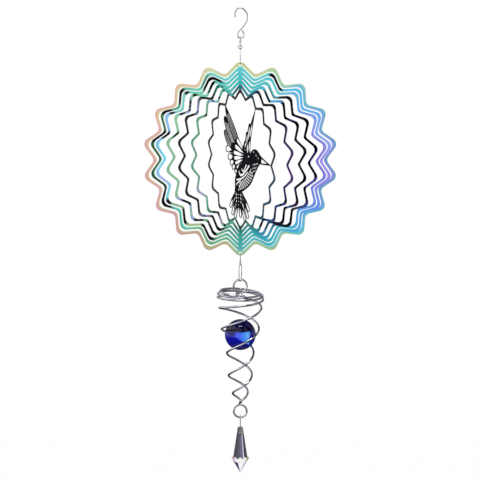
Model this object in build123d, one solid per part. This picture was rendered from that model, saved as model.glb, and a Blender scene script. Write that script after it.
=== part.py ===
from build123d import *
import math
import os

# Hanging garden wind spinner, in millimetres.
# Origin: the inside of the hook's crown, where it rests on a branch or bracket.
# +Z is up, the flat disc faces the viewer along -Y when it is not twisted.

# --- hanging hook and upper swivel -------------------------------------------
hook_wire = 0.65            # radius of the hook's wire
hook_loop_z = -29.0         # centre line of the wire at the bottom of the hook's loop
play = 0.25                 # free gap between two links that hang in each other
eye_wire = 0.4              # wire radius of the small swivel eyes and the jump ring
eye_radius = 1.4            # centre-line radius of the small swivel eyes
shank_radius = 0.35         # headed shank that turns in a swivel barrel
head_radius = 0.62
head_height = 0.4
barrel_radius = 1.15
barrel_bore = 0.80          # inside radius of the barrel's chamber
barrel_mouth = 0.42         # radius of the holes that the shanks pass through
barrel_wall = 0.45          # thickness of the barrel's ends
barrel_length = 2.6
barrel_round = 0.3          # rounding of a barrel's ends
head_play = 0.1             # end play of a shank's head inside its barrel
barrel_gap = 0.2            # gap between a barrel's end and the eye next to it
jump_radius = 1.9           # centre-line radius of the jump ring
link_wire = 0.5             # wire radius of the long link through the disc
link_half_width = 1.7
link_length = 16.65         # centre line of the top bend to that of the bottom bend

# --- disc: one laser-cut sheet with seven scalloped rings ----------------------
sheet = 0.5                 # thickness of the steel
lobes = 18
ring_count = 7
outer_tip = 98.9            # radius over the lobes of the outer ring
outer_valley = 88.6         # radius in the valleys of the outer ring
inner_tip = 68.0            # inside edge of ring 7 at a lobe
inner_valley = 61.2         # inside edge of ring 7 at a valley
slit = 1.05                 # width of the cut between two rings
first_slit_tip = 94.05      # centre of the first cut at a lobe
slit_tip_pitch = 4.41       # how much further in each next cut lies, at a lobe
first_slit_valley = 84.5
slit_valley_pitch = 3.95
outer_lobe_round = 6.5      # corner radii of the scallops
outer_valley_round = 5.5
lobe_round_step = 0.30      # how much rounder the outer rings are than the next one in
valley_round_step = 0.62
neck_width = 4.6            # strip of sheet left between two rings, on the axis
neck_gap = 0.1              # running gap of the twist joint in the middle of a neck
neck_relief = 3.0           # half width over which the joint face is cut level
twists = [0, 7, 9, 23, 34.5, 46, 61]    # degrees that each ring is bent round the axis
hole_radius = 1.3
hole_edge = 1.5             # metal left between a hole and the edge of the lobe

# --- tail swivel and snap -------------------------------------------------------
tail_wire = 0.5
tail_eye_half_width = 1.9
tail_eye_length = 8.2       # centre line of the top bend to that of the bottom bend
tail_eye_rise = 1.3         # wire centre above the pivot in the sheet's edge
snap_wire = 0.45
snap_half_width = 2.2
snap_length = 17.4
snap_turn = 35              # degrees that the snap hangs turned out of the YZ plane

# --- spiral cage, ball and crystal ----------------------------------------------
cage_wire = 1.1             # wire radius of the two spiral strands
ring_wire = 1.0             # wire radius of the tail's rings
ring_play = 0.35            # free gap between the tail's ring and the snap
top_ring_radius = 7.0
top_ring_apex = 15.3        # from the top of the tail's ring down to its V
v_half_width = 0.95         # half the distance between the wire's two ends in the V
bottom_ring_radius = 6.8
cage_length = 140.75        # from the top of the tail's ring to the centre of the bottom ring
strand_foot = 0.6           # gap between a strand's foot and the bottom ring's wire
strand_parting = 0.1        # half the gap between the two strands where they run together
top_parting = 0.4           # the same at the top, where the ring's V comes between them
top_seat = 0.05             # how much lower than the ring's V the strands start
points_per_turn = 14
coil_tilt = 0.06            # lean of the loose top coils, as a slope along X
ball_radius = 16.2
ball_play = 0.7             # room between the ball and the bends of the strands
pin_wire = 0.45
pin_half_width = 4.4
pin_corner = 1.0
pin_length = 18.7
crystal_top_radius = 3.0
crystal_foot_radius = 7.9    # over the foot of the long facets
crystal_foot_rise = 1.0      # height of that foot above the girdle
crystal_shoulder_radius = 6.3    # over the top of the short facets above the girdle
crystal_shoulder_rise = 3.0
crystal_girdle_radius = 9.4
crystal_point_radius = 0.25
crystal_top_above_hole = 6.6
crystal_girdle_drop = 33.4
crystal_length = 49.4
crystal_flat_half = 1.7      # half thickness of the drilled top, between its two flats
crystal_flat_slope = 16.2   # degrees by which the flats open out downwards
crystal_hole = 0.9
crystal_play = 0.2

# Stations of a spiral strand: half turns from the first open turn, radius of the turn,
# and drop below the top of the tail's ring.
strand_stations = [
    (-4.0, cage_wire + top_parting, top_ring_apex + ring_wire + cage_wire + top_seat),
    (-3.5, 11.5, 15.75),
    (-3.0, 21.2, 13.65),
    (-2.0, 23.8, 15.95),
    (-1.0, 24.2, 19.45),
    (0.0, 22.4, 29.75),
    (1.0, 19.8, 52.55),
    (1.5, 16.7, 65.75),
    (2.0, 14.2, 78.45),
    (3.0, 12.4, 102.35),
    (4.0, 7.8, 122.05),
    (4.7, cage_wire + strand_parting, cage_length - bottom_ring_radius - ring_wire - strand_foot),
]
first_open_station = 5      # below this one the cage only narrows


# --- wire helpers ----------------------------------------------------------------
def bend_radii(points):
    """Radius of the arc at each inner point: as large as its two runs allow."""
    radii = []
    for before, here, after in zip(points, points[1:], points[2:]):
        run_in = Vector(*here) - Vector(*before)
        run_out = Vector(*after) - Vector(*here)
        half_turn = math.radians(run_in.get_angle(run_out)) / 2
        shorter = min(run_in.length, run_out.length)
        radii.append(0.45 * shorter / math.tan(half_turn))
    return radii


def bent_wire(points, wire_radius):
    """A round wire along straight runs joined by tangent arcs."""
    path = FilletPolyline(*points, radius=bend_radii(points))
    section = Plane(path @ 0, z_dir=path % 0) * Circle(wire_radius)
    return sweep(section, path=path)


def upright_ring(radius, wire_radius, centre_z):
    """A round ring standing in the XZ plane."""
    return Pos(0, 0, centre_z) * Rot(90, 0, 0) * Torus(radius, wire_radius)


def oval_link(half_width, top_z, bottom_z, wire_radius):
    """A long closed link in the YZ plane, with a round bend at each end."""
    top_centre = top_z - half_width
    bottom_centre = bottom_z + half_width
    bend = Rot(0, 90, 0) * Torus(half_width, wire_radius)
    reach = half_width + 2 * wire_radius
    upper = bend & (Pos(0, 0, reach / 2) * Box(reach, 2 * reach, reach))
    lower = bend & (Pos(0, 0, -reach / 2) * Box(reach, 2 * reach, reach))
    leg = Cylinder(wire_radius, top_centre - bottom_centre)
    middle = (top_centre + bottom_centre) / 2
    legs = Pos(0, half_width, middle) * leg + Pos(0, -half_width, middle) * leg
    return legs + Pos(0, 0, top_centre) * upper + Pos(0, 0, bottom_centre) * lower


def headed_shank(start_z, barrel_end_z, direction):
    """Shank from an eye into a barrel, with the head that keeps it there."""
    head_start = barrel_end_z + direction * (barrel_wall + head_play)
    length = abs(head_start - start_z)
    shank = Pos(0, 0, (start_z + head_start) / 2) * Cylinder(shank_radius, length)
    head_middle = head_start + direction * head_height / 2
    head = Pos(0, 0, head_middle) * Cylinder(head_radius, head_height)
    return shank + head


def swivel_barrel(top_z):
    """Hollow barrel that holds the heads of two shanks."""
    shell = Cylinder(barrel_radius, barrel_length)
    shell = fillet(shell.edges().filter_by(GeomType.CIRCLE), barrel_round)
    chamber = Cylinder(barrel_bore, barrel_length - 2 * barrel_wall)
    mouths = Cylinder(barrel_mouth, 2 * barrel_length)
    return Pos(0, 0, top_z - barrel_length / 2) * (shell - chamber - mouths)


# --- hanger ------------------------------------------------------------------------
def hanging_hook():
    crown = hook_wire
    points = [
        (-4.9, 0, -8.6),
        (-5.6, 0, -4.6),
        (-3.4, 0, crown),
        (2.6, 0, crown),
        (6.9, 0, -4.2),
        (7.3, 0, -11.2),
        (2.6, 0, -18.4),
        (-3.0, 0, -23.8),
        (-2.1, 0, hook_loop_z),
        (2.5, 0, hook_loop_z),
        (3.9, 0, -25.6),
        (2.0, 0, -21.4),
    ]
    return bent_wire(points, hook_wire)


def ring_down(wire_z, upper_wire, lower_wire):
    """Height of the next link's top wire, hanging in a wire at wire_z."""
    return wire_z + upper_wire + play + lower_wire


upper_eye_top = ring_down(hook_loop_z, hook_wire, eye_wire)
upper_eye_bottom = upper_eye_top - 2 * eye_radius
barrel_top = upper_eye_bottom - eye_wire - barrel_gap
barrel_bottom = barrel_top - barrel_length
lower_eye_top = barrel_bottom - barrel_gap - eye_wire
lower_eye_bottom = lower_eye_top - 2 * eye_radius
jump_top = ring_down(lower_eye_bottom, eye_wire, eye_wire)
jump_bottom = jump_top - 2 * jump_radius
link_top = ring_down(jump_bottom, eye_wire, link_wire)
link_bottom = link_top - link_length
hole_offset = outer_tip - hole_edge - hole_radius
top_hole_z = link_bottom - hole_radius + play + link_wire
disc_centre_z = top_hole_z - hole_offset
bottom_hole_z = disc_centre_z - hole_offset


def swivel_eye(centre_z):
    """A round eye standing in the YZ plane."""
    return Pos(0, 0, centre_z) * Rot(0, 90, 0) * Torus(eye_radius, eye_wire)


def swivel_upper_eye():
    eye = swivel_eye(upper_eye_top - eye_radius)
    return eye + headed_shank(upper_eye_bottom, barrel_top, -1)


def swivel_lower_eye():
    eye = swivel_eye(lower_eye_top - eye_radius)
    return eye + headed_shank(lower_eye_top, barrel_bottom, 1)


# --- disc --------------------------------------------------------------------------
def scallop_edge(tip, valley, lobe_round, valley_round):
    """Closed edge with rounded lobes that reach tip and rounded valleys that reach valley."""
    step = math.pi / lobes
    lobe_corner = tip
    valley_corner = valley
    for _ in range(30):
        lobe_half = math.atan2(
            valley_corner * math.sin(step), lobe_corner - valley_corner * math.cos(step))
        valley_half = math.atan2(
            lobe_corner * math.sin(step), lobe_corner * math.cos(step) - valley_corner)
        lobe_corner = tip + lobe_round * (1 / math.sin(lobe_half) - 1)
        valley_corner = valley - valley_round * (1 / math.sin(valley_half) - 1)
    points = []
    radii = []
    for index in range(2 * lobes):
        is_lobe = index % 2 == 0
        angle = math.pi / 2 + index * step
        corner = lobe_corner if is_lobe else valley_corner
        points.append((corner * math.cos(angle), corner * math.sin(angle)))
        radii.append(lobe_round if is_lobe else valley_round)
    return make_face(FilletPolyline(*points, radius=radii, close=True))


def edge_after_slit(number, side):
    """Scalloped face bounded by one side of a slit: side +1 is its outer side."""
    tip = first_slit_tip - (number - 1) * slit_tip_pitch + side * slit / 2
    valley = first_slit_valley - (number - 1) * slit_valley_pitch + side * slit / 2
    lobe_round = outer_lobe_round - number * lobe_round_step
    valley_round = outer_valley_round - number * valley_round_step
    return scallop_edge(tip, valley, lobe_round, valley_round)


def inner_opening():
    """Face of the open middle of the last ring."""
    lobe_round = outer_lobe_round - ring_count * lobe_round_step
    valley_round = outer_valley_round - ring_count * valley_round_step
    return scallop_edge(inner_tip, inner_valley, lobe_round, valley_round)


def neck_height(number):
    """Distance from the disc's centre to the joint face in the neck across a slit."""
    return first_slit_tip - (number - 1) * slit_tip_pitch


def level_strip(half_width, low, high):
    """Rectangle across the axis between two heights, and its mirror image below."""
    strip = Pos(0, (low + high) / 2) * Rectangle(2 * half_width, high - low)
    return strip + Pos(0, -(low + high) / 2) * Rectangle(2 * half_width, high - low)


def ring_face(number):
    if number == 1:
        face = scallop_edge(outer_tip, outer_valley, outer_lobe_round, outer_valley_round)
    else:
        face = edge_after_slit(number - 1, -1)
        joint = neck_height(number - 1)
        face += level_strip(neck_width / 2, joint - 2 * slit, joint - neck_gap / 2)
        face -= level_strip(neck_relief, joint - neck_gap / 2, joint + 2 * slit)
    if number < ring_count:
        joint = neck_height(number)
        face -= edge_after_slit(number, 1)
        face += level_strip(neck_width / 2, joint + neck_gap / 2, joint + 2 * slit)
        face -= level_strip(neck_relief, joint - 2 * slit, joint + neck_gap / 2)
    else:
        face -= inner_opening()
    return face


def stand_up(face, twist):
    """Give a flat face the sheet's thickness, stand it up and turn it round the axis."""
    plate = Pos(0, 0, -sheet / 2) * extrude(face, amount=sheet)
    return Rot(0, 0, -twist) * Pos(0, 0, disc_centre_z) * Rot(90, 0, 0) * plate


def disc_ring(number):
    face = ring_face(number)
    if number == 1:
        face -= Pos(0, hole_offset) * Circle(hole_radius)
        face -= Pos(0, -hole_offset) * Circle(hole_radius)
    return stand_up(face, twists[number - 1])


# --- hummingbird: pierced figure cut from the same sheet as ring 7 -------------------
rib = 1.05                  # width of the metal lines in the figure
tail_feather_half = 2.5     # half width of the feathers of the tail fan
reach_in = 1.6              # how far its points are drawn past the ring's inner edge


def ring_point(degrees):
    """Point just past the inner edge of ring 7, in one of its valleys."""
    radius = inner_valley + reach_in
    angle = math.radians(degrees)
    return (radius * math.cos(angle), radius * math.sin(angle))


def smooth_face(*points):
    return make_face(Spline(*points, periodic=True))


def corner_face(*points):
    return make_face(Polyline(*points, close=True))


def band(points, width):
    """Curved slot of even width along a chain of points."""
    left = []
    right = []
    last = len(points) - 1
    for index, point in enumerate(points):
        along = Vector(*points[min(index + 1, last)]) - Vector(*points[max(index - 1, 0)])
        side = Vector(-along.Y, along.X).normalized() * width / 2
        left.append(Vector(*point) + side)
        right.append(Vector(*point) - side)
    sides = [Spline(*left), Line(left[-1], right[-1]), Spline(*right[::-1]), Line(right[0], left[0])]
    return make_face(sides)


def leaf(base, tip, half_width):
    """Pointed leaf between two points."""
    start = Vector(*base)
    end = Vector(*tip)
    along = end - start
    side = Vector(-along.Y, along.X).normalized() * half_width
    middle = start + along * 0.55
    left = ThreePointArc(start, middle + side, end)
    right = ThreePointArc(end, middle - side, start)
    return make_face([left, right])


def drop(base, tip, half_width):
    """Feather with a pointed base and a round tip."""
    start = Vector(*base)
    end = Vector(*tip)
    along = (end - start).normalized()
    side = Vector(-along.Y, along.X) * half_width
    centre = end - along * half_width
    flank = start + (centre - start) * 0.5
    left = Spline(start, flank + side * 0.8, centre + side, tangents=[along, along])
    cap = ThreePointArc(centre + side, end, centre - side)
    right = Spline(centre - side, flank - side * 0.8, start, tangents=[-along, -along])
    return make_face([left, cap, right])


def inset_drop(base, tip, half_width, margin):
    """Opening inside a drop-shaped feather."""
    along = (Vector(*tip) - Vector(*base)).normalized()
    new_base = Vector(*base) + along * margin * 2.6
    new_tip = Vector(*tip) - along * margin
    return drop(
        (new_base.X, new_base.Y), (new_tip.X, new_tip.Y), half_width - margin)


def part_way(start, end, share):
    """Point at a share of the way between two points."""
    return (start[0] + (end[0] - start[0]) * share, start[1] + (end[1] - start[1]) * share)


def along_line(points, share):
    """Point at a share of the length of a chain of points."""
    lengths = [math.dist(a, b) for a, b in zip(points, points[1:])]
    left = share * sum(lengths)
    for start, end, length in zip(points, points[1:], lengths):
        if left <= length:
            return part_way(start, end, left / length)
        left -= length
    return points[-1]


def long_slots(front, back, shares, first, last, width):
    """Slots along a long feather, between its two edges, at these shares across it."""
    steps = 5
    slots = []
    for across in shares:
        points = []
        for index in range(steps + 1):
            along = first + (last - first) * index / steps
            points.append(part_way(along_line(front, along), along_line(back, along), across))
        slots.append(band(points, width))
    return slots


wing_lead = [
    (2.0, 16.2), (-4.5, 23.0), (-9.8, 30.4), (-15.9, 37.6), (-22.2, 44.8), (-29.2, 51.2)]
first_back = [(-7.0, 13.0), (-13.3, 19.2), (-18.6, 26.4), (-26.7, 37.2), (-31.2, 47.0)]
second_back = [(-15.0, 11.6), (-20.5, 16.9), (-26.7, 23.8), (-32.0, 31.6), (-35.2, 39.2)]
third_back = [(-19.0, 8.8), (-26.6, 12.6), (-31.6, 18.4), (-34.6, 23.6)]
# Rounded feathers behind the long ones: base, tip and half width.
coverts = [
    ((-3.0, 8.6), (-31.0, 9.2), 3.5),
    ((-3.0, 4.8), (-26.3, 0.4), 3.5),
    ((-3.0, 1.2), (-22.0, -5.6), 3.2),
    ((-2.0, -2.0), (-17.4, -10.2), 3.0),
    ((-1.0, -5.0), (-11.5, -14.4), 2.6),
]
# Drop-shaped openings that spread from the shoulder: base, tip and half width.
shoulder_openings = [
    ((8.0, 9.8), (-7.2, 20.4), 2.1),
    ((9.0, 7.2), (-11.2, 13.4), 2.1),
    ((8.8, 5.2), (-14.0, 6.6), 1.9),
    ((7.8, 3.2), (-13.2, 0.8), 1.8),
    ((6.4, 1.0), (-10.8, -4.4), 1.6),
    ((4.6, -1.2), (-7.6, -9.0), 1.3),
]


def wing_outline():
    """The near wing without its openings."""
    face = corner_face(
        (16.0, 4.0), (8.0, 9.6), *wing_lead, ring_point(120), (-32.2, 51.6), *first_back[::-1],
        (-4.0, 2.0))
    face += corner_face(
        *first_back[:-1], (-29.4, 41.0), (-31.6, 42.6), (-34.2, 42.2), *second_back[::-1],
        (-6.0, 4.0))
    face += corner_face(
        *second_back[:3], (-29.4, 27.6), (-32.0, 28.8), (-34.6, 27.6), *third_back[::-1],
        (-6.0, 2.0))
    for base, tip, half_width in coverts:
        face += drop(base, tip, half_width)
    shoulder = corner_face(
        (16.0, 6.0), (2.0, 16.2), (-7.0, 13.4), (-15.0, 11.8), (-16.0, 4.0), (-14.0, -3.0),
        (-10.0, -9.0), (-4.0, -12.0), (4.0, -8.0), (14.0, -2.0))
    return face + shoulder


def near_wing():
    face = wing_outline()
    feather_slots = [
        *long_slots(wing_lead, first_back, (0.22, 0.5, 0.78), 0.2, 0.88, 1.2),
        *long_slots(first_back[:-1], second_back, (0.2, 0.48, 0.76), 0.18, 0.92, 1.35),
        *long_slots(second_back[:-1], third_back, (0.22, 0.52, 0.8), 0.18, 0.92, 1.15),
    ]
    for slot in feather_slots:
        face -= slot
    for base, tip, half_width in coverts:
        face -= inset_drop(part_way(base, tip, 0.42), tip, half_width, rib * 0.85)
    for base, tip, half_width in shoulder_openings:
        face -= drop(base, tip, half_width)
    return face


def far_wing():
    face = corner_face(
        ring_point(60), (26.9, 41.0), (24.6, 33.3), (21.4, 21.7), (20.2, 11.5), (19.4, 6.0),
        (9.0, 4.0), (4.6, 12.0), (8.2, 19.4), (10.4, 20.4), (12.2, 29.2), (15.0, 30.0),
        (18.2, 38.6), (21.2, 38.0))
    slots = [
        ((19.6, 23.0), (24.8, 40.0), 1.3),
        ((16.2, 20.6), (19.6, 36.6), 1.4),
        ((13.0, 16.0), (14.8, 28.4), 1.25),
        ((18.0, 9.0), (19.4, 22.0), 1.45),
        ((14.8, 7.4), (14.8, 18.6), 1.4),
        ((9.6, 12.8), (11.4, 19.4), 1.2),
        ((11.6, 6.8), (8.6, 12.4), 1.3),
    ]
    for base, tip, half_width in slots:
        face -= leaf(base, tip, half_width)
    return face


def head_and_beak():
    head = smooth_face(
        (18.0, 4.0), (22.6, 10.6), (28.0, 13.4), (33.4, 13.2), (38.0, 10.6), (41.8, 6.6),
        (41.2, 1.6), (35.0, -4.4), (26.0, -6.0), (19.0, -2.0))
    beak = corner_face(
        (40.2, 8.4), (46.4, 5.8), (53.0, 3.2), ring_point(0), (52.0, -0.4), (39.6, -0.6))
    beak -= corner_face((42.8, 4.9), (47.0, 4.0), (54.0, 1.5), (47.0, 0.9), (42.8, 0.9))
    face = head + beak
    for x, y, length, turn in [
            (27.4, 10.6, 2.6, -20), (32.6, 7.6, 2.4, -35), (36.6, 5.2, 2.2, -30)]:
        face -= Pos(x, y) * Rot(0, 0, turn) * Ellipse(length / 2, 0.75)
    return face


def body():
    face = smooth_face(
        (8.0, 2.0), (14.0, 4.4), (22.0, 3.0), (32.0, 1.0), (38.6, 0.0), (35.6, -4.8),
        (31.6, -9.6), (28.0, -14.6), (23.8, -20.2), (17.6, -25.4), (10.4, -29.2),
        (4.6, -32.0), (-3.0, -34.6), (-11.4, -33.2), (-10.8, -28.0), (-11.2, -22.0),
        (-8.6, -15.6), (-5.0, -9.0), (0.0, -3.0))
    return face


throat_dashes = [
    (26.4, -2.4), (29.4, -1.8), (32.4, -1.2), (35.4, -0.6), (26.2, -6.0), (29.2, -5.4),
    (32.2, -4.8), (27.6, -8.9), (30.3, -8.2)]


def body_openings():
    """Curved wing root slots and belly spots."""
    openings = []
    outer_loop = [
        (4.6, -1.6), (-1.0, -7.4), (-2.6, -11.4), (-1.2, -14.6), (3.0, -15.2), (8.4, -12.2),
        (14.0, -8.0), (19.2, -3.6)]
    openings.append(band(outer_loop, 2.3))
    inner_loop = [(8.8, -2.8), (4.6, -6.8), (3.4, -9.8), (5.6, -10.8), (9.4, -8.0), (13.4, -3.8)]
    openings.append(band(inner_loop, 1.9))
    back_line = [(-8.4, -21.2), (-3.6, -20.4), (3.0, -18.6), (10.0, -14.9), (15.6, -10.7)]
    openings.append(band(back_line, 1.7))
    rump_line = [(-8.8, -26.6), (-4.4, -23.4), (1.0, -21.2)]
    openings.append(band(rump_line, 1.6))
    belly_low = [(-4.6, -31.2), (4.6, -28.6), (13.6, -24.6), (21.4, -18.6), (27.2, -11.2)]
    belly_high = [(-2.8, -25.2), (4.4, -21.8), (12.0, -17.4), (18.0, -12.0), (22.4, -7.4)]
    rows = 4
    count = 10
    for row in range(rows):
        share_up = row / (rows - 1)
        for index in range(count):
            share = (index + 0.35 + 0.5 * (row % 2)) / (count + 0.2)
            x, y = part_way(along_line(belly_low, share), along_line(belly_high, share), share_up)
            turn = 30 + 30 * share
            openings.append(Pos(x, y) * Rot(0, 0, turn) * Ellipse(1.35, 1.05))
    return openings


def tail_fan():
    base = (-3.4, -36.4)
    feathers = [
        ((-9.4, -31.6), (-21.6, -51.4)), ((-7.6, -34.6), (-17.0, -59.0)),
        (base, ring_point(260)), (base, (1.2, -59.6)), (base, ring_point(280)),
        ((1.6, -34.6), (16.6, -58.4)), ((3.2, -32.2), (18.6, -51.0))]
    face = corner_face(
        (-11.2, -33.4), (-11.6, -40.0), (-8.9, -45.6), (-4.0, -50.0), (2.6, -47.6),
        (6.4, -41.0), (5.4, -33.0), (-3.0, -33.4))
    for root, tip in feathers:
        face += drop(root, tip, tail_feather_half)
    for root, tip in feathers:
        face -= inset_drop(part_way(root, tip, 0.40), tip, tail_feather_half, rib * 0.72)
    for row in range(4):
        x = base[0] - 0.1 * row
        y = -35.4 - 3.6 * row
        face -= corner_face((x - 2.1, y + 1.3), (x, y - 0.2), (x + 2.1, y + 1.3), (x, y - 1.9))
    for side in (-1, 1):
        for row in range(3):
            inner = Pos(base[0] + side * (4.2 + 0.25 * row), -36.0 - 3.6 * row)
            face -= inner * Rot(0, 0, 90 + side * 12) * SlotOverall(2.8, 1.9)
        for row in range(2):
            outer = Pos(base[0] + side * (7.0 - 0.5 * row), -36.2 - 3.8 * row)
            face -= outer * Rot(0, 0, 90 + side * 6) * SlotOverall(2.9, 1.2)
    return face


def hummingbird():
    face = body()
    for opening in body_openings():
        face -= opening
    face += head_and_beak()
    for x, y in throat_dashes:
        face -= Pos(x, y) * Rot(0, 0, 50) * SlotOverall(3.0, 1.3)
    face += near_wing()
    face += far_wing()
    face += tail_fan()
    return stand_up(face & inner_opening(), twists[-1])


# --- tail swivel and snap --------------------------------------------------------------
strip_edge = bottom_hole_z - hole_radius
tail_pivot_z = strip_edge - sheet / 2
tail_eye_top = tail_pivot_z + tail_eye_rise
tail_eye_bottom = tail_eye_top - tail_eye_length
tail_barrel_top = tail_eye_bottom - tail_wire - barrel_gap
tail_barrel_bottom = tail_barrel_top - barrel_length
snap_top = tail_barrel_bottom - barrel_gap - snap_wire
snap_bottom = snap_top - snap_length


def tail_swivel_eye():
    eye = oval_link(tail_eye_half_width, tail_eye_top, tail_eye_bottom, tail_wire)
    return eye + headed_shank(tail_eye_bottom, tail_barrel_top, -1)


def tail_snap():
    loop = oval_link(snap_half_width, snap_top, snap_bottom, snap_wire)
    return Rot(0, 0, -snap_turn) * (loop + headed_shank(snap_top, tail_barrel_bottom, 1))


# --- spiral cage --------------------------------------------------------------------------
tail_ring_top = snap_bottom + snap_wire + ring_play + ring_wire
bottom_ring_centre_z = tail_ring_top - cage_length


def tail_top_ring():
    """Round ring whose two ends run together in a V."""
    centre = tail_ring_top - top_ring_radius
    apex = tail_ring_top - top_ring_apex
    shoulder_x = 0.80 * top_ring_radius
    shoulder_z = centre - 0.56 * top_ring_radius
    arc_step = math.radians(40)
    corner_radius = top_ring_radius / math.cos(arc_step / 2)
    points = [(v_half_width, 0, apex), (shoulder_x, 0, shoulder_z)]
    for step in range(5):
        angle = arc_step * (step + 0.25)
        x = corner_radius * math.cos(angle)
        points.append((x, 0, centre + corner_radius * math.sin(angle)))
    points.append((-shoulder_x, 0, shoulder_z))
    points.append((-v_half_width, 0, apex))
    return bent_wire(points, ring_wire)


def between(stations, position):
    """Radius and drop at a position, on a smooth curve through the stations."""
    last = len(stations) - 1
    index = 0
    while index < last - 1 and position > stations[index + 1][0]:
        index += 1
    start, end = stations[index], stations[index + 1]
    span = end[0] - start[0]
    share = (position - start[0]) / span
    result = []
    for column in (1, 2):
        slope = []
        for station in (index, index + 1):
            low = stations[max(station - 1, 0)]
            high = stations[min(station + 1, last)]
            slope.append((high[column] - low[column]) / (high[0] - low[0]) * span)
        a, b = start[column], end[column]
        result.append(
            a * (1 + 2 * share) * (1 - share) ** 2 + slope[0] * share * (1 - share) ** 2
            + b * share ** 2 * (3 - 2 * share) - slope[1] * share ** 2 * (1 - share))
    return result


def strand_points(start_angle):
    """Points of one strand, from the V down to the bottom ring."""
    first = strand_stations[0][0]
    last = strand_stations[-1][0]
    steps = round((last - first) * points_per_turn / 2)
    points = []
    for index in range(steps + 1):
        position = first + (last - first) * index / steps
        radius, drop_below = between(strand_stations, position)
        angle = start_angle - math.pi * position
        x = radius * math.cos(angle)
        y = radius * math.sin(angle)
        lean = coil_tilt * x * min(1, max(0, -position))
        points.append((x, y, tail_ring_top - drop_below - lean))
    return points


def ball_height():
    """Height of the ball's centre where the narrowing strands carry it."""
    reach = ball_radius + cage_wire + ball_play
    highest_seat = tail_ring_top - strand_stations[first_open_station][2]
    seats = []
    for x, y, z in strand_points(0) + strand_points(math.pi):
        radius = math.hypot(x, y)
        if radius < reach and z < highest_seat:
            seats.append(z + math.sqrt(reach ** 2 - radius ** 2))
    return max(seats)


# --- crystal -------------------------------------------------------------------------------
pin_pivot_z = bottom_ring_centre_z - bottom_ring_radius
pin_top = ring_down(pin_pivot_z, ring_wire, pin_wire)
pin_bottom = pin_top - pin_length
crystal_hole_z = pin_bottom - (crystal_hole - pin_wire - crystal_play)
crystal_top = crystal_hole_z + crystal_top_above_hole


def crystal_pin():
    """Long rectangular wire clip in the YZ plane."""
    side = pin_half_width
    start = (0, side, (pin_top + pin_bottom) / 2)
    section = Plane(start, z_dir=(0, 0, 1)) * Circle(pin_wire)
    leg = extrude(section, amount=pin_length / 2 - pin_corner, both=True)
    legs = leg + mirror(leg, about=Plane.XZ)
    bar_length = 2 * (side - pin_corner)
    bar = Rot(90, 0, 0) * Cylinder(pin_wire, bar_length)
    clip = legs + Pos(0, 0, pin_top) * bar + Pos(0, 0, pin_bottom) * bar
    quarter = Rot(0, 90, 0) * Torus(pin_corner, pin_wire)
    reach = pin_corner + 2 * pin_wire
    for y_side in (-1, 1):
        for z_side, z in ((1, pin_top - pin_corner), (-1, pin_bottom + pin_corner)):
            window = Pos(0, y_side * reach / 2, z_side * reach / 2) * Box(reach, reach, reach)
            clip += Pos(0, y_side * (side - pin_corner), z) * (quarter & window)
    return clip


def octagon(radius, height, turn):
    return Pos(0, 0, height) * Rot(0, 0, turn) * RegularPolygon(radius, 8)


def crystal_prism():
    """Icicle prism: long upper facets, a wide girdle and a short point."""
    girdle_z = crystal_top - crystal_girdle_drop
    girdle = octagon(crystal_girdle_radius, girdle_z, 0)
    foot = octagon(crystal_foot_radius, girdle_z + crystal_foot_rise, 22.5)
    upper = loft([foot, octagon(crystal_top_radius, crystal_top, 22.5)], ruled=True)
    shoulder_z = girdle_z + crystal_shoulder_rise
    shoulder = loft([girdle, octagon(crystal_shoulder_radius, shoulder_z, 0)], ruled=True)
    tip = octagon(crystal_point_radius, crystal_top - crystal_length, 0)
    prism = upper + shoulder + loft([tip, girdle], ruled=True)
    width = 2 * crystal_girdle_radius
    for side in (-1, 1):
        flat = Pos(0, side * crystal_flat_half, crystal_top) * Rot(side * crystal_flat_slope, 0, 0)
        prism -= flat * Pos(0, side * width / 2, 0) * Box(2 * width, width, 2 * crystal_girdle_drop)
    hole = Pos(0, 0, crystal_hole_z) * Rot(90, 0, 0) * Cylinder(crystal_hole, 2 * width)
    return prism - hole


def build():
    nodes = {
        "hanging_hook": hanging_hook(),
        "swivel_upper_eye": swivel_upper_eye(),
        "swivel_barrel": swivel_barrel(barrel_top),
        "swivel_lower_eye": swivel_lower_eye(),
        "jump_ring": upright_ring(jump_radius, eye_wire, (jump_top + jump_bottom) / 2),
        "disc_link": oval_link(link_half_width, link_top, link_bottom, link_wire),
        "hummingbird": hummingbird(),
        "tail_swivel_eye": tail_swivel_eye(),
        "tail_swivel_barrel": swivel_barrel(tail_barrel_top),
        "tail_snap": tail_snap(),
        "tail_top_ring": tail_top_ring(),
        "spiral_strand_a": bent_wire(strand_points(math.pi), cage_wire),
        "spiral_strand_b": bent_wire(strand_points(0), cage_wire),
        "glass_ball": Pos(0, 0, ball_height()) * Sphere(ball_radius),
        "tail_bottom_ring": upright_ring(bottom_ring_radius, ring_wire, bottom_ring_centre_z),
        "crystal_pin": crystal_pin(),
        "crystal_prism": crystal_prism(),
    }
    for number in range(1, ring_count + 1):
        nodes["disc_ring_" + str(number)] = disc_ring(number)
    return nodes


os.makedirs("parts", exist_ok=True)
for name, shape in build().items():
    export_step(shape, "parts/" + name + ".step")
print("pivots: hook loop", hook_loop_z, "lower eye", round(lower_eye_bottom, 3),
      "jump ring", round(jump_bottom, 3), "disc link", round(link_bottom, 3),
      "disc edge", round(tail_pivot_z, 3), "snap", round(snap_bottom, 3),
      "pin", round(pin_pivot_z, 3), "crystal", round(pin_bottom, 3))
print("ball centre", round(ball_height(), 3), "tail ring top", round(tail_ring_top, 3))
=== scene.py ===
import math

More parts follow.
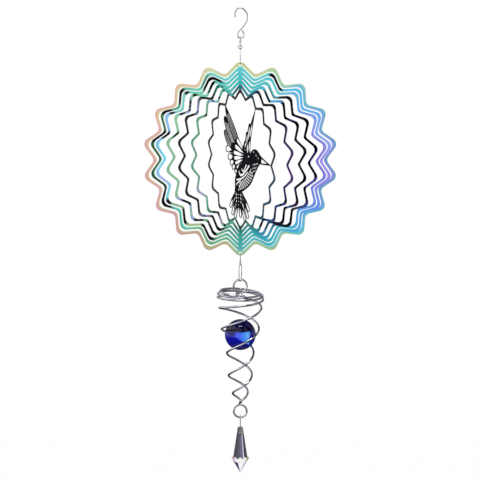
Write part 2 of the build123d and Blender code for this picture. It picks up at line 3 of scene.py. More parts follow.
import bpy
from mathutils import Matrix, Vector


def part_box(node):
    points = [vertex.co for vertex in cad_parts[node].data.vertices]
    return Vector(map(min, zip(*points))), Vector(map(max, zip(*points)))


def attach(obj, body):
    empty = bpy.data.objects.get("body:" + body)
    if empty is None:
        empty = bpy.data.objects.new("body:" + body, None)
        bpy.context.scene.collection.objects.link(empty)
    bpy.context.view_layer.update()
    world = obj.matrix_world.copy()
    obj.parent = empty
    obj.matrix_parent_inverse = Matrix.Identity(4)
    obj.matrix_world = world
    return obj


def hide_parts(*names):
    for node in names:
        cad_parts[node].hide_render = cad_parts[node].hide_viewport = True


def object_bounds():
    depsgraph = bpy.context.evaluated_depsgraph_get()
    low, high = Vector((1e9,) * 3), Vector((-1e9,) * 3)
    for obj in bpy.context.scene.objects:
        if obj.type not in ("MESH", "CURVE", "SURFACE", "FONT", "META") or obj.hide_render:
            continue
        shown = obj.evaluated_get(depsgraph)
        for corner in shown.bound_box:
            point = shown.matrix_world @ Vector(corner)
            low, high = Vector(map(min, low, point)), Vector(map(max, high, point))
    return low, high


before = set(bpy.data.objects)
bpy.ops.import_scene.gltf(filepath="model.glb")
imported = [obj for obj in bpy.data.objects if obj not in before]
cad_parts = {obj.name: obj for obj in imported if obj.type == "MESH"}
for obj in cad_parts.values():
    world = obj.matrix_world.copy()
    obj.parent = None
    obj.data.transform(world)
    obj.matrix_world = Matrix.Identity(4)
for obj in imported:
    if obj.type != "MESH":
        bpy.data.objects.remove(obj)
cad_low, cad_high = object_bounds()

# --- Stage: floor, studio light and camera --------------------------------------------
# A matt white paper floor lies well below the hanging spinner, in an evenly lit studio.
# Dark gaps part the studio's white screens, because polished steel and glass show only
# what stands around them.


def add_node(tree, kind, inputs=None, stops=None, **settings):
    """Adds one node with its settings; an input is a value or another node's output."""
    made = tree.nodes.new(kind)
    for name, value in settings.items():
        setattr(made, name, value)
    for name, value in (inputs or {}).items():
        if isinstance(value, bpy.types.NodeSocket):
            tree.links.new(value, made.inputs[name])
        else:
            made.inputs[name].default_value = value
    if stops:
        elements = made.color_ramp.elements
        while len(elements) < len(stops):
            elements.new(0.5)
        for element, (place, colour) in zip(elements, sorted(stops)):
            element.position = place
            element.color = linear(colour)
    return made


def linear(hex_colour):
    """An sRGB hex colour as linear red, green, blue and alpha."""
    parts = [int(hex_colour[i:i + 2], 16) / 255 for i in (0, 2, 4)]
    light = [p / 12.92 if p <= 0.04045 else ((p + 0.055) / 1.055) ** 2.4 for p in parts]
    return light + [1.0]


floor_drop = 0.60
floor_half = 2.0
# Uncoated paper is matt all over, with fibres drawn coarse enough to show faintly.
paper_white = "FEFEFE"
paper_roughness = 0.9
fibre_mm = 8
table_grey = "36363C"
bpy.context.scene.view_settings.view_transform = "Standard"
bpy.ops.object.select_all(action="DESELECT")
bpy.ops.mesh.primitive_plane_add(
    size=2 * floor_half, location=(0, 0, cad_low.z - floor_drop))
floor = bpy.context.object
floor.name = "paper_floor"
floor_paper = bpy.data.materials.new("matt_white_paper")
floor_paper.use_nodes = True
tree = floor_paper.node_tree
skin = tree.nodes["Principled BSDF"]
skin.inputs["Roughness"].default_value = paper_roughness
skin.inputs["Specular IOR Level"].default_value = 0.0
fibres = add_node(
    tree, "ShaderNodeTexNoise",
    {"Vector": add_node(tree, "ShaderNodeTexCoord").outputs["Object"],
     "Scale": 1000 / fibre_mm, "Detail": 2.0})
paper = add_node(
    tree, "ShaderNodeValToRGB", {"Fac": fibres.outputs["Fac"]},
    stops=[(0.3, paper_white), (0.7, "FFFFFF")])
tree.links.new(paper.outputs["Color"], skin.inputs["Base Color"])
# Only reflections see a dark table in the paper's place, which draws the metal's lower
# outline.
table = add_node(
    tree, "ShaderNodeEmission", {"Color": linear(table_grey), "Strength": 1.0})
kind_of_ray = add_node(tree, "ShaderNodeLightPath")
either = add_node(
    tree, "ShaderNodeMixShader",
    {0: kind_of_ray.outputs["Is Glossy Ray"], 1: skin.outputs[0], 2: table.outputs[0]})
tree.links.new(either.outputs[0], tree.nodes["Material Output"].inputs["Surface"])
floor.data.materials.append(floor_paper)

# Screens round the studio, by share of a turn from the back by the left to the front.
# At the disc's height white screens stand nearly all round, so the rings show their film.
disc_screens = [
    (0.00, "F2F2F2"), (0.060, "F2F2F2"), (0.080, "1A1A1E"), (0.110, "1A1A1E"),
    (0.130, "F4F4F4"), (0.560, "FFFFFF"), (0.575, "0A0A0C"), (0.620, "0A0A0C"),
    (0.635, "ECECEE"), (0.880, "ECECEE"), (0.900, "0A0A0C"), (0.930, "0A0A0C"),
    (0.950, "F2F2F2"), (1.00, "F2F2F2"),
]
# At the tail's height the studio is darker, with slim screens, so its wire has contrast.
tail_screens = [
    (0.00, "B8B8C0"), (0.050, "B8B8C0"), (0.080, "08080A"), (0.110, "08080A"),
    (0.130, "84848E"), (0.290, "84848E"), (0.310, "0A0A0C"), (0.470, "0C0C10"),
    (0.486, "FFFFFF"), (0.510, "FFFFFF"), (0.526, "0C0C10"), (0.690, "08080A"),
    (0.710, "6C6C88"), (0.730, "6C6C88"), (0.750, "08080A"), (0.930, "08080A"),
    (0.960, "B8B8C0"), (1.00, "B8B8C0"),
]
# Above head height a wide soft box stands on the left, and the right is dark.
upper_screens = [
    (0.00, "9A9AA2"), (0.060, "9A9AA2"), (0.100, "2A2A30"), (0.120, "2A2A30"),
    (0.140, "FFFFFF"), (0.460, "FFFFFF"), (0.480, "DCD8DC"), (0.530, "C8C4C8"),
    (0.550, "141418"), (0.590, "141418"), (0.610, "B0B0B8"), (0.680, "B0B0B8"),
    (0.700, "101014"), (0.780, "101014"), (0.800, "8A8A94"), (0.850, "8A8A94"),
    (0.880, "141418"), (0.940, "141418"), (0.970, "9A9AA2"), (1.00, "9A9AA2"),
]
# Shares of the way from straight down to straight up where one height gives way to the
# next: tail, disc, upper screens and dark ceiling.
height_shares = ((0.438, 0.442), (0.53, 0.55), (0.81, 0.84))
dark_ceiling = "141418"
# The lamp hangs overhead, a little to the front: its half width, nearest and furthest
# edge as shares of the distance to it.
lamp_half = 0.22
lamp_near = -0.34
lamp_far = -0.19
lamp_strength = 14.0
screen_strength = 1.06
studio = bpy.data.worlds.new("white_studio")
bpy.context.scene.world = studio
studio.use_nodes = True
tree = studio.node_tree
tree.nodes.clear()
direction = add_node(tree, "ShaderNodeTexCoord")
parts = add_node(tree, "ShaderNodeSeparateXYZ", {"Vector": direction.outputs["Generated"]})
away = add_node(
    tree, "ShaderNodeMath", {0: parts.outputs["Y"], 1: -1.0}, operation="MULTIPLY")
turn = add_node(
    tree, "ShaderNodeMath", {0: parts.outputs["X"], 1: away.outputs[0]},
    operation="ARCTAN2")
turn_share = add_node(
    tree, "ShaderNodeMapRange",
    {"Value": turn.outputs[0], "From Min": -math.pi, "From Max": math.pi})
rise = add_node(tree, "ShaderNodeMath", {0: parts.outputs["Z"]}, operation="ARCSINE")
rise_share = add_node(
    tree, "ShaderNodeMapRange",
    {"Value": rise.outputs[0], "From Min": -math.pi / 2, "From Max": math.pi / 2})
around = [
    add_node(tree, "ShaderNodeValToRGB", {"Fac": turn_share.outputs[0]}, stops=screens)
    for screens in (tail_screens, disc_screens, upper_screens)]
seen = around[0].outputs["Color"]
levels = [around[1].outputs["Color"], around[2].outputs["Color"], linear(dark_ceiling)]
for (low, high), level in zip(height_shares, levels):
    above = add_node(
        tree, "ShaderNodeMapRange",
        {"Value": rise_share.outputs[0], "From Min": low, "From Max": high})
    mixed = add_node(
        tree, "ShaderNodeMix", {0: above.outputs[0], 6: seen, 7: level}, data_type="RGBA")
    seen = mixed.outputs[2]
across = add_node(
    tree, "ShaderNodeMath", {0: parts.outputs["X"], 1: 0.0, 2: lamp_half},
    operation="COMPARE")
along = add_node(
    tree, "ShaderNodeMath",
    {0: parts.outputs["Y"], 1: (lamp_near + lamp_far) / 2, 2: (lamp_far - lamp_near) / 2},
    operation="COMPARE")
overhead = add_node(
    tree, "ShaderNodeMath", {0: parts.outputs["Z"], 1: 0.0}, operation="GREATER_THAN")
in_outline = add_node(
    tree, "ShaderNodeMath", {0: across.outputs[0], 1: along.outputs[0]},
    operation="MULTIPLY")
lamp = add_node(
    tree, "ShaderNodeMath", {0: in_outline.outputs[0], 1: overhead.outputs[0]},
    operation="MULTIPLY")
strength = add_node(
    tree, "ShaderNodeMapRange",
    {"Value": lamp.outputs[0], "To Min": screen_strength, "To Max": lamp_strength})
lit = add_node(
    tree, "ShaderNodeMix", {0: lamp.outputs[0], 6: seen, 7: linear("FFFFFF")},
    data_type="RGBA")
screen_light = add_node(
    tree, "ShaderNodeBackground",
    {"Color": lit.outputs[2], "Strength": strength.outputs[0]})
even_light = add_node(
    tree, "ShaderNodeBackground", {"Color": linear("FFFFFF"), "Strength": 1.0})
ray = add_node(tree, "ShaderNodeLightPath")
in_gloss = add_node(
    tree, "ShaderNodeMath",
    {0: ray.outputs["Is Glossy Ray"], 1: ray.outputs["Is Transmission Ray"]},
    operation="MAXIMUM")
light = add_node(
    tree, "ShaderNodeMixShader",
    {0: in_gloss.outputs[0], 1: even_light.outputs[0], 2: screen_light.outputs[0]})
add_node(tree, "ShaderNodeOutputWorld", {"Surface": light.outputs[0]})

# The camera stands straight in front and a little above, with a long lens.
camera_lens = 105
camera_distance = 1.4398
camera_rise = math.radians(9.5)
aim_aside = -0.0003
aim_below_top = 0.2347
aim = Vector((aim_aside, 0, -aim_below_top))
back = Vector((0, -math.cos(camera_rise), math.sin(camera_rise)))
bpy.ops.object.camera_add(location=aim + back * camera_distance)
camera = bpy.context.object
camera.name = "camera"
camera.data.lens = camera_lens
camera.rotation_mode = "QUATERNION"
camera.rotation_quaternion = (-back).to_track_quat("-Z", "Y")
bpy.context.scene.camera = camera

# --- Hook, link, tail cage and crystal clip: bent wire --------------------------------
# Stainless wire, bent cold round pins, with the cage's strands pinched to its two rings.
# Tumbling polishes it nearly as bright as chrome, but leaves the gloss slightly uneven
# and fine scratches all over.


def new_metal(name):
    """A metal's material, its Principled shader and its Object coordinates."""
    made = bpy.data.materials.new(name)
    made.use_nodes = True
    shader = made.node_tree.nodes["Principled BSDF"]
    shader.inputs["Metallic"].default_value = 1.0
    place = add_node(made.node_tree, "ShaderNodeTexCoord")
    return made, made.node_tree, shader, place.outputs["Object"]


scratch_mm = 0.25
scratch_depth_mm = 0.01
scratch_strength = 0.05


def polished_metal(name, light, dark, smear_mm, gloss):
    """Tumbled metal: colour and gloss drift over smear_mm, gloss is (smooth, dull)."""
    made, tree, shader, place = new_metal(name)
    smear = add_node(
        tree, "ShaderNodeTexNoise",
        {"Vector": place, "Scale": 1000 / smear_mm, "Detail": 3.0})
    shade = add_node(
        tree, "ShaderNodeValToRGB", {"Fac": smear.outputs["Fac"]},
        stops=[(0.35, light), (0.65, dark)])
    tree.links.new(shade.outputs["Color"], shader.inputs["Base Color"])
    dull = add_node(
        tree, "ShaderNodeMapRange",
        {"Value": smear.outputs["Fac"], "To Min": gloss[0], "To Max": gloss[1]})
    tree.links.new(dull.outputs[0], shader.inputs["Roughness"])
    scratches = add_node(
        tree, "ShaderNodeTexNoise",
        {"Vector": place, "Scale": 1000 / scratch_mm, "Detail": 2.0})
    relief = add_node(
        tree, "ShaderNodeBump",
        {"Height": scratches.outputs["Fac"], "Strength": scratch_strength,
         "Distance": scratch_depth_mm / 1000})
    tree.links.new(relief.outputs["Normal"], shader.inputs["Normal"])
    return made


def finish_node(name, material):
    """Gives a CAD node its material."""
    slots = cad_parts[name].data.materials
    slots.clear()
    slots.append(material)


# Bright, cool silver that goes greyer where the polish is duller.
bright_wire = polished_metal(
    "tumbled_stainless_wire", "ECEAF0", "B4B0BC", smear_mm=9, gloss=(0.09, 0.16))
for name in ("hanging_hook", "disc_link", "tail_top_ring", "spiral_strand_a",
             "spiral_strand_b", "tail_bottom_ring", "crystal_pin"):
    finish_node(name, bright_wire)

# --- Swivels and jump ring ------------------------------------------------------------
# Two small swivels, each an eye and a barrel that turn on a headed shank inside it, and
# the ring that joins the upper one to the disc's link. They are steel, plated in a
# barrel with nickel, which gives a slightly darker and patchier silver than the wire.
plated_nickel = polished_metal(
    "nickel_plated_swivel", "DCDCE2", "A4A4AE", smear_mm=3, gloss=(0.08, 0.18))
for name in ("swivel_upper_eye", "swivel_barrel", "swivel_lower_eye", "jump_ring",
             "tail_swivel_eye", "tail_swivel_barrel", "tail_snap"):
    finish_node(name, plated_nickel)

# --- Disc: seven scalloped rings ------------------------------------------------------
# One sheet of mirror-polished stainless steel, laser cut, with its necks bent by hand.
# A film coated on in vacuum is so thin that its thickness gives the colour. It changes
# from ring to ring and round each one, so the colour runs through the rainbow.
disc_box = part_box("disc_ring_1")
disc_centre = (disc_box[0] + disc_box[1]) / 2
# Degrees that each ring is turned, from the outer ring to the inmost.
ring_twist = (0, 7, 9, 23, 34.5, 46, 61)

# Colour round each ring: degrees from the right over the top, and the colour there: the
# film's hue, with painted reflections, near-black stretches and short pale glints.
ring_colours = {
    1: "0 8F86E0, 10 8C90E8, 25 7CA0EC, 40 62ACEA, 54 5CB8D8, 64 8ACBAC, 75 B4DAA6, "
       "90 BFD3A0, 105 BFDFB0, 120 D2D6A4, 140 D0CB9A, 160 D2C092, 180 D2B892, "
       "200 CFB892, 220 C4B088, 240 B4AE82, 260 A9B484, 270 8CBEA0, 285 86C4A4, "
       "295 4FBCC8, 308 40B4D8, 320 4FA0E0, 335 6C8CE2, 348 8284DE",
    2: "0 9A90E6, 12 8EA0EC, 28 72A8EC, 45 5CB4E6, 60 58BEDA, 72 62C4CC, 90 5CC6CC, "
       "110 78CEBC, 113 4A9078, 118 4A9078, 120 6CC8B0, 132 5FAF94, 150 549872, "
       "185 3F7F62, 204 2C5846, 214 35604E, 217 5CD6C8, 230 5FD0C4, 236 77B98A, "
       "262 72B893, 275 4FB7B9, 300 48B8D0, 318 4FA3E0, 334 6C8AE2, 348 8F86E0",
    3: "0 7F78CF, 20 8C8DE6, 40 6AA6E4, 60 62C4CC, 90 52C0C4, 110 62C4B4, 131 7CCFBD, "
       "143 7CC8C4, 147 8DBBEA, 158 8DBBEA, 168 7CC3E6, 182 6FD8EA, 195 A0B4EA, "
       "206 6FD8E2, 215 8CB48C, 237 A6C08C, 254 6DB58E, 270 49AFAF, 305 3FB4CC, "
       "322 5C9BE0, 342 7B82DB",
    4: "0 5A4FA0, 10 46407E, 22 2E2A48, 55 2A2740, 60 5BBFC6, 90 49BFC0, 115 72C9B4, "
       "130 8DC9A0, 136 9DB4EA, 142 9DB4EA, 150 8DC9A0, 165 86BC94, 195 86BC94, "
       "209 86BC94, 213 A0A8DC, 221 A0A8DC, 225 83BE95, 230 9AA8E0, 236 83BE95, "
       "255 69B090, 270 3FA8A0, 295 38A4C0, 302 2A2A50, 325 3A3A70, 345 4A4896",
    5: "0 241F30, 20 1C1824, 33 1A1A22, 35 7E7ED0, 38 1A1A22, 48 1D2533, 51 5AA0DA, "
       "65 5AB6D0, 90 3BB5B6, 112 62C2B4, 118 2B3230, 128 26282C, 140 A0A4CC, 143 2A2A2E, "
       "180 2B2B30, 228 26262B, 235 A6A0C4, 240 1C2020, 252 1C2020, 255 55A98C, "
       "270 3AA096, 298 3E8CC0, 303 1B1B2E, 318 1B1B2E, 321 5E92D8, 325 2B2440, "
       "345 3C2250, 352 241C30",
    6: "0 4B2D66, 20 342A58, 40 2A2540, 58 23202E, 70 252A44, 80 2F86A0, 92 1F7480, "
       "105 57BDB0, 118 6CB79C, 124 9AB6DE, 132 68AD8C, 160 63A584, 200 5FA183, "
       "215 A9A0CC, 222 5FA98A, 240 2E3C38, 246 9C98BC, 252 5DAA8C, 270 2E9088, "
       "292 2A8A90, 300 2F5C9C, 316 24283C, 322 31508C, 335 2E2A54, 348 54347A",
    7: "0 2C4258, 15 1C222E, 50 17171C, 75 173440, 90 10202A, 110 1B2022, 180 1E1F22, "
       "235 1E2224, 248 2A5C50, 258 3E8A78, 270 14343A, 285 2F7A76, 300 2F6A74, "
       "318 30506A, 340 2F4C66",
}
# Stretches of ring painted near black, a painted reflection of the studio's dark gaps, in
# degrees, and how many degrees their ends take on each side.
ring_shadows = {
    2: ((59, 71), (129, 137), (144, 150), (159, 170), (204, 214)),
    3: ((103, 119), (127.5, 130), (144, 147), (159, 165), (209, 213), (221, 230),
        (238, 252)),
    4: ((22, 57), (132.5, 135.5), (234, 237), (301, 322)),
}
shadow_ease = 0.5
# The outer ring's film thins towards its cut edge, which runs it on into pink and gold.
rim_colours = (
    "0 4F9CA4, 20 5FA8A0, 40 79BC9C, 60 C2CF9C, 75 CFBE92, 90 CDB08C, 105 D9C09A, "
    "120 E0AE9E, 140 E2A2A4, 160 E29CAE, 180 DC94AC, 200 DA94AC, 215 CC8CB8, 230 D090A4, "
    "245 C4949A, 260 BCA284, 270 A4B88C, 285 B9B67C, 300 BDBE78, 310 8CC4A0, 325 74B8B8, "
    "345 60A8A0")


def ring_colour_stops(text):
    """Ramp stops from a list of degrees and colours, closed where the turn ends."""
    pairs = [entry.split() for entry in text.split(", ")]
    stops = [(float(angle) / 360, colour) for angle, colour in pairs]
    return stops + [(1.0, stops[0][1])]


def shadow_stops(arcs):
    """Ramp stops that are black over each arc and white between them."""
    stops = [(0.0, "FFFFFF"), (1.0, "FFFFFF")]
    for start, end in arcs:
        stops += [((start - shadow_ease) / 360, "FFFFFF"),
                  ((start + shadow_ease) / 360, "000000"),
                  ((end - shadow_ease) / 360, "000000"),
                  ((end + shadow_ease) / 360, "FFFFFF")]
    return stops


# Near black of the painted dark reflections on the listed stretches.
painted_dark_reflection = "15161C"
# The outer ring's middle line: its lobes, mean radius and wave, and half the width over
# which the inner colour gives way to the rim's.
lobe_count = 18
rim_middle_mm = 92.2
rim_wave_mm = 5.2
rim_half_mm = 2.2
# Rolling leaves long shallow waves in the sheet, over which the film drifts by a share
# of a turn and the gloss goes from smooth to dull.
sheet_wave_mm = 22
sheet_wave_depth_mm = 0.4
sheet_wave_strength = 0.25
film_drift = 0.012
film_gloss = (0.05, 0.13)


def rainbow_steel(number):
    """Coated mirror steel, coloured round the ring's own centre and in its own plane."""
    made, tree, shader, place = new_metal("rainbow_coated_mirror_steel_" + str(number))
    flat = add_node(
        tree, "ShaderNodeMapping",
        {"Vector": place, "Location": disc_centre,
         "Rotation": (0, 0, -math.radians(ring_twist[number - 1]))},
        vector_type="TEXTURE")
    axes = add_node(tree, "ShaderNodeSeparateXYZ", {"Vector": flat.outputs[0]})
    angle = add_node(
        tree, "ShaderNodeMath", {0: axes.outputs["Z"], 1: axes.outputs["X"]},
        operation="ARCTAN2")
    share = add_node(
        tree, "ShaderNodeMath", {0: angle.outputs[0], 1: 1 / math.tau},
        operation="MULTIPLY")
    drift = add_node(
        tree, "ShaderNodeTexNoise", {"Vector": place, "Scale": 1000 / sheet_wave_mm})
    uneven = add_node(
        tree, "ShaderNodeMath",
        {0: drift.outputs["Fac"], 1: film_drift, 2: share.outputs[0]},
        operation="MULTIPLY_ADD")
    centred = add_node(
        tree, "ShaderNodeMath", {0: uneven.outputs[0], 1: film_drift / 2},
        operation="SUBTRACT")
    turn = add_node(tree, "ShaderNodeMath", {0: centred.outputs[0]}, operation="FRACT")
    # The film's hue round the ring, with the painted reflections that the table lists.
    film_and_reflection = add_node(
        tree, "ShaderNodeValToRGB", {"Fac": turn.outputs[0]},
        stops=ring_colour_stops(ring_colours[number]))
    colour = film_and_reflection.outputs["Color"]
    # Painted dark reflections: each listed stretch goes near black.
    if number in ring_shadows:
        lit = add_node(
            tree, "ShaderNodeValToRGB", {"Fac": turn.outputs[0]},
            stops=shadow_stops(ring_shadows[number]))
        dimmed = add_node(
            tree, "ShaderNodeMix",
            {0: lit.outputs["Color"], 6: linear(painted_dark_reflection), 7: colour},
            data_type="RGBA")
        colour = dimmed.outputs[2]
    if number == 1:
        rim = add_node(
            tree, "ShaderNodeValToRGB", {"Fac": turn.outputs[0]},
            stops=ring_colour_stops(rim_colours))
        lobes = add_node(
            tree, "ShaderNodeMath", {0: angle.outputs[0], 1: lobe_count},
            operation="MULTIPLY")
        wave = add_node(tree, "ShaderNodeMath", {0: lobes.outputs[0]}, operation="COSINE")
        reach = add_node(
            tree, "ShaderNodeMath",
            {0: wave.outputs[0], 1: -rim_wave_mm / 1000, 2: rim_middle_mm / 1000},
            operation="MULTIPLY_ADD")
        radius = add_node(
            tree, "ShaderNodeVectorMath", {0: flat.outputs[0]}, operation="LENGTH")
        past = add_node(
            tree, "ShaderNodeMath", {0: radius.outputs["Value"], 1: reach.outputs[0]},
            operation="SUBTRACT")
        outward = add_node(
            tree, "ShaderNodeMapRange",
            {"Value": past.outputs[0], "From Min": -rim_half_mm / 1000,
             "From Max": rim_half_mm / 1000})
        both = add_node(
            tree, "ShaderNodeMix",
            {0: outward.outputs[0], 6: colour, 7: rim.outputs["Color"]},
            data_type="RGBA")
        colour = both.outputs[2]
    tree.links.new(colour, shader.inputs["Base Color"])
    dull = add_node(
        tree, "ShaderNodeMapRange",
        {"Value": drift.outputs["Fac"], "To Min": film_gloss[0], "To Max": film_gloss[1]})
    tree.links.new(dull.outputs[0], shader.inputs["Roughness"])
    roll = add_node(
        tree, "ShaderNodeBump",
        {"Height": drift.outputs["Fac"], "Strength": sheet_wave_strength,
         "Distance": sheet_wave_depth_mm / 1000})
    tree.links.new(roll.outputs["Normal"], shader.inputs["Normal"])
    return made


for number in range(1, len(ring_twist) + 1):
    finish_node("disc_ring_" + str(number), rainbow_steel(number))

# --- Hummingbird ----------------------------------------------------------------------
# The pierced figure in the middle is cut from the same sheet and joined to the inmost
# ring. Its film is thick enough to look blued and nearly black, with a faint teal cast
# here and there.
bird_steel, tree, skin, place = new_metal("blued_mirror_steel")
bird_cast_mm = 14
bird_gloss = (0.08, 0.2)
bird_glare = "CDCDD2"
skin.inputs["Specular Tint"].default_value = linear(bird_glare)
cast = add_node(
    tree, "ShaderNodeTexNoise",
    {"Vector": place, "Scale": 1000 / bird_cast_mm, "Detail": 2.0})
tint = add_node(
    tree, "ShaderNodeValToRGB", {"Fac": cast.outputs["Fac"]},
    stops=[(0.35, "050507"), (0.55, "09090C"), (0.75, "0C161C")])
tree.links.new(tint.outputs["Color"], skin.inputs["Base Color"])
dull = add_node(
    tree, "ShaderNodeMapRange",
    {"Value": cast.outputs["Fac"], "To Min": bird_gloss[0], "To Max": bird_gloss[1]})
tree.links.new(dull.outputs[0], skin.inputs["Roughness"])
finish_node("hummingbird", bird_steel)

# --- Ball -----------------------------------------------------------------------------
# A solid ball of dense cobalt glass, gathered on a rod, rolled in a mould and fire
# polished, which leaves it smooth, deep blue and nearly opaque. Its colour is painted with
# shade, darkest on its upper cap, and with a paler blue patch, a painted refraction of a
# bright window. It lies loose in the strands, where they narrow.


def new_glass(name, refraction, cloudless):
    """Glass: material, shader and Object coordinates; cloudless is the light let through."""
    made = bpy.data.materials.new(name)
    made.use_nodes = True
    shader = made.node_tree.nodes["Principled BSDF"]
    shader.inputs["Transmission Weight"].default_value = cloudless
    shader.inputs["IOR"].default_value = refraction
    shader.inputs["Roughness"].default_value = 0.0
    place = add_node(made.node_tree, "ShaderNodeTexCoord")
    return made, made.node_tree, shader, place.outputs["Object"]


ball_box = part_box("glass_ball")
ball_centre = (ball_box[0] + ball_box[1]) / 2
ball_radius = (ball_box[1].z - ball_box[0].z) / 2
# Gathering stirs the colour into wide streaks, by a share of the ball's radius.
streak_mm = 7.364
stir_share = 0.10
cobalt, tree, skin, place = new_glass("cobalt_glass", 1.46, 0.05)
within = add_node(
    tree, "ShaderNodeMapping",
    {"Vector": place, "Location": ball_centre, "Scale": (ball_radius,) * 3},
    vector_type="TEXTURE")
streaks = add_node(
    tree, "ShaderNodeTexNoise",
    {"Vector": within.outputs[0], "Scale": ball_radius * 1000 / streak_mm, "Detail": 2.0,
     "Distortion": 0.8})
stirred = add_node(
    tree, "ShaderNodeVectorMath",
    {0: streaks.outputs["Color"], 1: (stir_share,) * 3, 2: within.outputs[0]},
    operation="MULTIPLY_ADD")
axes = add_node(tree, "ShaderNodeSeparateXYZ", {"Vector": stirred.outputs[0]})
body = add_node(
    tree, "ShaderNodeMapRange",
    {"Value": axes.outputs["Z"], "From Min": -1.0, "From Max": 1.0})
# The blue from the bottom of the ball to its top, with painted shade: darkest on the upper
# cap and brightest cobalt just below the middle.
shaded_body_blue = add_node(
    tree, "ShaderNodeValToRGB", {"Fac": body.outputs[0]},
    stops=[(0.06, "171050"), (0.20, "0A0B66"), (0.36, "0C0E92"), (0.56, "12129C"),
           (0.66, "0E0A60"), (0.74, "07042A"), (0.90, "0A0640"), (1.0, "0E0A58")])
# The painted refraction patch's four faces: slopes of each along x and z, and where it
# lies, in ball radii; then how deep inside them its colour starts and is full, and how far
# across it runs.
refraction_patch_faces = (
    (0.60, 1.00, 0.100), (0.04, -1.00, 0.41), (-1.00, 0.10, 0.66), (1.00, -0.30, 0.40))
refraction_patch_edge = (-0.01, 0.05)
refraction_patch_run = (-0.5, 0.7)
inside = None
for along_x, along_z, offset in refraction_patch_faces:
    by_x = add_node(
        tree, "ShaderNodeMath", {0: axes.outputs["X"], 1: along_x, 2: offset},
        operation="MULTIPLY_ADD")
    by_both = add_node(
        tree, "ShaderNodeMath", {0: axes.outputs["Z"], 1: along_z, 2: by_x.outputs[0]},
        operation="MULTIPLY_ADD")
    if inside:
        by_both = add_node(
            tree, "ShaderNodeMath", {0: inside.outputs[0], 1: by_both.outputs[0]},
            operation="MINIMUM")
    inside = by_both
refraction_patch = add_node(
    tree, "ShaderNodeMapRange",
    {"Value": inside.outputs[0], "From Min": refraction_patch_edge[0], "From Max": refraction_patch_edge[1]})
pale = add_node(
    tree, "ShaderNodeMapRange",
    {"Value": axes.outputs["X"], "From Min": refraction_patch_run[0], "From Max": refraction_patch_run[1]})
# The painted refraction's pale blue, from the left of the ball to its right.
painted_refraction_blue = add_node(
    tree, "ShaderNodeValToRGB", {"Fac": pale.outputs[0]},
    stops=[(0.0, "2430E0"), (0.25, "3A52F0"), (0.5, "3468F4"), (0.72, "4E9CFC"),
           (0.88, "62AEFF"), (1.0, "3A78F0")])
glass_blue = add_node(
    tree, "ShaderNodeMix",
    {0: refraction_patch.outputs[0], 6: shaded_body_blue.outputs["Color"], 7: painted_refraction_blue.outputs["Color"]},
    data_type="RGBA")
tree.links.new(glass_blue.outputs[2], skin.inputs["Base Color"])
fire_polish_share = 0.999
pontil_share = 0.985
bpy.ops.object.select_all(action="DESELECT")
bpy.ops.mesh.primitive_ico_sphere_add(
    subdivisions=6, radius=ball_radius * fire_polish_share, location=ball_centre)
ball = bpy.context.object
ball.name = "cobalt_ball"
bpy.ops.object.transform_apply(location=True, rotation=True, scale=True)
bpy.ops.object.shade_smooth()
# The scar where the glass left the rod is ground to a small flat at the bottom.
pontil_z = ball_centre.z - pontil_share * ball_radius
bpy.ops.object.mode_set(mode="EDIT")
bpy.ops.mesh.select_mode(type="VERT")
bpy.ops.mesh.select_all(action="DESELECT")
bpy.ops.object.mode_set(mode="OBJECT")
for vertex in ball.data.vertices:
    vertex.select = vertex.co.z < pontil_z
bpy.ops.object.mode_set(mode="EDIT")
bpy.ops.transform.resize(
    value=(1.0, 1.0, 0.0), center_override=(ball_centre.x, ball_centre.y, pontil_z))
bpy.ops.object.mode_set(mode="OBJECT")
ball.data.materials.append(cobalt)
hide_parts("glass_ball")
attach(ball, "ball")

# --- Crystal --------------------------------------------------------------------------
# An icicle of lead crystal, drilled for its clip, ground in flat facets and polished.
# Each facet's tone is a painted reflection set in the glass, which lets little light
# through: the long upper facets are painted dark and the girdle and short lower facets
# bright, as a white room shows in them. Heights are from the girdle, and each ease is
# the height over which tones change.
girdle_drop_mm = 33.4
girdle_foot_mm = -3.1
girdle_ease_mm = 0.3
facet_count = 8
zigzag_mm = 1.6
zigzag_wave_mm = 0.8
zigzag_ease_mm = 0.15
drilled_top_mm = 6.5
drilled_ease_mm = 0.5
# Painted reflections round the prism, by share of a turn from the back by the left to the
# front.
long_facet_reflections = [
    (0.0, "4A4860"), (0.062, "5A5772"), (0.063, "1E1C2C"), (0.187, "2C2A3C"),
    (0.188, "3C3A52"), (0.312, "221829"), (0.313, "2A1830"), (0.335, "1C1A2A"),
    (0.400, "232136"), (0.436, "2E2C44"), (0.438, "3C3A50"), (0.470, "4A4862"),
    (0.520, "605C7A"), (0.561, "5C5874"), (0.564, "E4DCF4"), (0.592, "D0C4E8"),
    (0.600, "180F1E"), (0.687, "0E080E"), (0.688, "3C3A52"), (0.812, "4A4862"),
    (0.813, "1E1C2C"), (0.937, "2A2836"), (0.938, "4A4860"),
]
short_facet_reflections = [
    (0.0, "FFFFFF"), (0.12, "ECE8F6"), (0.124, "FFFFFF"), (0.230, "F4F0FC"),
    (0.240, "282440"), (0.418, "3A3456"), (0.428, "8478C0"), (0.448, "D2C8F4"),
    (0.456, "FFFFFF"), (0.585, "FFFFFF"), (0.600, "A8A4BC"), (0.618, "E6DEFC"),
    (0.70, "DED6F2"), (0.740, "A8A4B8"), (0.75, "FFFFFF"), (1.0, "FFFFFF"),
]
girdle_reflections = [
    (0.0, "FFFFFF"), (0.20, "FFFFFF"), (0.25, "E4AEB0"), (0.31, "F6DADC"),
    (0.35, "CFC6E4"), (0.40, "F8F4FF"), (0.42, "FFFFFF"), (0.60, "FFFFFF"),
    (0.63, "CDD0A8"), (0.75, "B4B98E"), (0.80, "FFFFFF"), (1.0, "FFFFFF"),
]
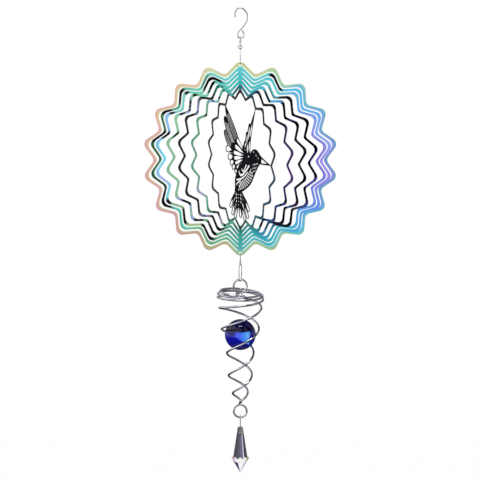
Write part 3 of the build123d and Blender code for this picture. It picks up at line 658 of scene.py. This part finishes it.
drilled_top_reflections = [
    (0.0, "8A8A8C"), (0.2, "6A6A6E"), (0.40, "4E4E52"), (0.455, "606064"),
    (0.475, "E8E8EA"), (0.52, "F2F2F2"), (0.545, "8C8C88"), (0.60, "6A6A66"),
    (0.8, "9A9A9A"), (1.0, "8A8A8C"),
]
crystal_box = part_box("crystal_prism")
crystal_middle = (crystal_box[0] + crystal_box[1]) / 2
girdle_place = Vector(
    (crystal_middle.x, crystal_middle.y, crystal_box[1].z - girdle_drop_mm / 1000))
crystal, tree, skin, place = new_glass("lead_crystal", 1.58, 0.04)
from_girdle = add_node(
    tree, "ShaderNodeMapping",
    {"Vector": place, "Location": girdle_place, "Scale": (0.001, 0.001, 0.001)},
    vector_type="TEXTURE")
axes = add_node(tree, "ShaderNodeSeparateXYZ", {"Vector": from_girdle.outputs[0]})
away = add_node(
    tree, "ShaderNodeMath", {0: axes.outputs["Y"], 1: -1.0}, operation="MULTIPLY")
turn = add_node(
    tree, "ShaderNodeMath", {0: axes.outputs["X"], 1: away.outputs[0]},
    operation="ARCTAN2")
around_share = add_node(
    tree, "ShaderNodeMapRange",
    {"Value": turn.outputs[0], "From Min": -math.pi, "From Max": math.pi})
bands = [
    add_node(tree, "ShaderNodeValToRGB", {"Fac": around_share.outputs[0]}, stops=facets)
    for facets in (short_facet_reflections, girdle_reflections, long_facet_reflections, drilled_top_reflections)]
facet_turn = add_node(
    tree, "ShaderNodeMath", {0: turn.outputs[0], 1: facet_count}, operation="MULTIPLY")
facet_wave = add_node(
    tree, "ShaderNodeMath", {0: facet_turn.outputs[0]}, operation="COSINE")
zigzag = add_node(
    tree, "ShaderNodeMath",
    {0: facet_wave.outputs[0], 1: -zigzag_wave_mm, 2: axes.outputs["Z"]},
    operation="MULTIPLY_ADD")
# Where each tone gives way to the one above it: the height read, and its start and end.
level = axes.outputs["Z"]
drilled_foot_mm = girdle_drop_mm - drilled_top_mm
changes = (
    (level, girdle_foot_mm - girdle_ease_mm, girdle_foot_mm + girdle_ease_mm),
    (zigzag.outputs[0], zigzag_mm - zigzag_ease_mm, zigzag_mm + zigzag_ease_mm),
    (level, drilled_foot_mm, drilled_foot_mm + drilled_ease_mm))
crystal_colour = bands[0].outputs["Color"]
for band_above, (height, low, high) in zip(bands[1:], changes):
    above = add_node(
        tree, "ShaderNodeMapRange", {"Value": height, "From Min": low, "From Max": high})
    mixed = add_node(
        tree, "ShaderNodeMix",
        {0: above.outputs[0], 6: crystal_colour, 7: band_above.outputs["Color"]},
        data_type="RGBA")
    crystal_colour = mixed.outputs[2]
tree.links.new(crystal_colour, skin.inputs["Base Color"])
finish_node("crystal_prism", crystal)
